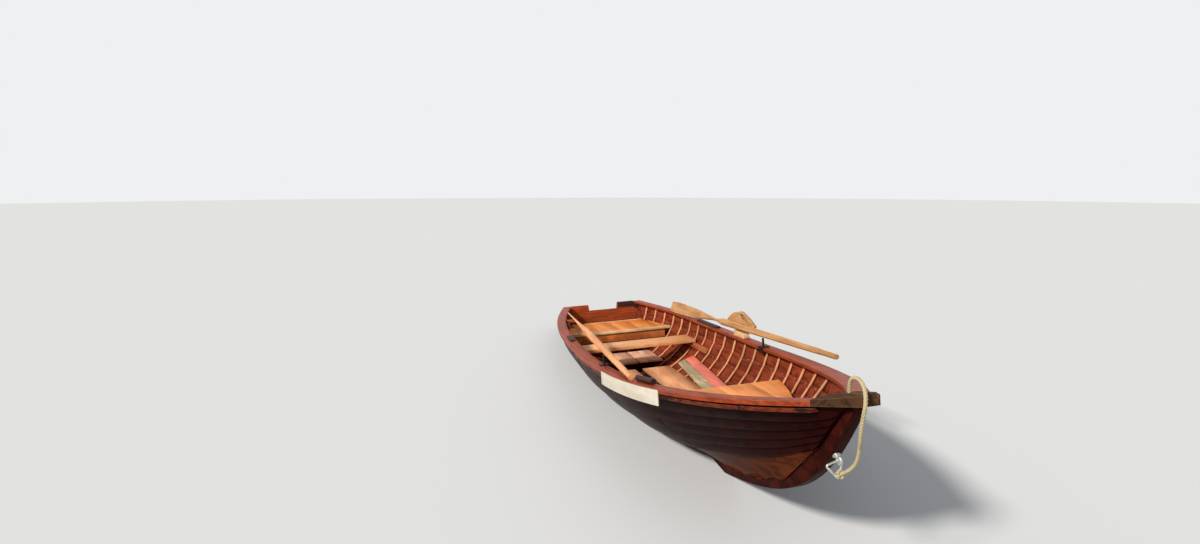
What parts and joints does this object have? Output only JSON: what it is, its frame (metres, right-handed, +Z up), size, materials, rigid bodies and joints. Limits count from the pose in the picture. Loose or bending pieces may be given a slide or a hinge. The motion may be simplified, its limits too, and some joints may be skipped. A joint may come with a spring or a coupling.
{
  "type": "clinker-built rowing boat",
  "caption": "Open wooden clinker rowing boat afloat, with bent ribs, plank seats, floorboards, stowed oars and a mooring rope at the raked stem.",
  "frame": {"origin": "on the waterline, on the centreline, 2.03 m forward of the transom's plane", "axes": "+X from the transom to the bow, +Y to port, +Z up"},
  "size_m": [4.7145, 1.2466, 0.7958],
  "materials": {
    "backbone_wood": "worn red-brown varnish",
    "board_paint": "white gloss paint",
    "dark_iron": "dark, slightly rusted",
    "dark_pad": "matt dark",
    "floor_wood": "peach satin varnish",
    "galvanised_steel": "dull galvanised",
    "garboard_planking": "glossy yellow-brown varnish",
    "grey_plank": "bare grey",
    "oar_wood": "light varnish",
    "rail_wood": "worn red-orange varnish",
    "red_plank": "coral paint, satin",
    "red_planking": "glossy dark red-brown varnish",
    "rib_wood": "pale orange varnish",
    "rope_fibre": "laid fibre",
    "seat_edge_wood": "cream varnish",
    "seat_wood": "bright orange varnish",
    "transom_wood": "red varnish",
    "weathered_wood": "bare weathered grey"
  },
  "bodies": {
    "hull": {"blade_bracket": "seat_wood", "bow_eye": "galvanised_steel", "bow_link": "galvanised_steel", "bow_riser_port": "seat_wood", "bow_riser_starboard": "seat_wood", "bow_seat_bearers": "seat_wood", "bow_seat_boards": "seat_wood", "floor_aft": "floor_wood", "floor_bearers": "floor_wood", "floor_middle": "floor_wood", "grip_bar": "dark_pad", "keel": "backbone_wood", "loose_plank_grey": "grey_plank", "loose_plank_red": "red_plank", "mooring_rope": "rope_fibre", "motor_pad": "dark_pad", "name_board": "board_paint", "oar_block_port": "oar_wood", "outwale_port": "rail_wood", "outwale_starboard": "rail_wood", "rail_cap_port": "rail_wood", "rail_cap_starboard": "rail_wood", "rail_pad_port": "dark_pad", "rail_pad_starboard": "dark_pad", "ribs_port": "rib_wood", "ribs_starboard": "rib_wood", "rope_knot": "rope_fibre", "rowing_riser_port": "seat_wood", "rowing_riser_starboard": "seat_wood", "rowing_seat": "seat_wood", "rowlock_iron_port": "dark_iron", "rowlock_iron_starboard": "dark_iron", "stem": "backbone_wood", "stem_head": "weathered_wood", "stern_riser_port": "seat_wood", "stern_riser_starboard": "seat_wood", "stern_seat_apron": "seat_wood", "stern_seat_boards": "seat_wood", "stern_seat_edges": "seat_edge_wood", "strake_fifth_port": "red_planking", "strake_fifth_starboard": "red_planking", "strake_fourth_port": "red_planking", "strake_fourth_starboard": "red_planking", "strake_garboard_port": "garboard_planking", "strake_garboard_starboard": "garboard_planking", "strake_second_port": "red_planking", "strake_second_starboard": "red_planking", "strake_sheer_port": "red_planking", "strake_sheer_starboard": "red_planking", "strake_third_port": "red_planking", "strake_third_starboard": "red_planking", "thole_pin_port": "dark_iron", "thole_pin_starboard": "dark_iron", "transom": "transom_wood"},
    "oar_port": {"oar_port": "oar_wood", "oar_port_wing": "oar_wood"},
    "oar_starboard": {"oar_starboard": "oar_wood", "oar_starboard_wing": "oar_wood"}
  },
  "joints": [
    {"name": "oar_port_lift", "type": "slide", "parent": "hull", "child": "oar_port", "axis": [0, 0, 1], "range_m": [0, 0.3]},
    {"name": "oar_starboard_lift", "type": "slide", "parent": "hull", "child": "oar_starboard", "axis": [0, 0, 1], "range_m": [0, 0.3]}
  ]
}
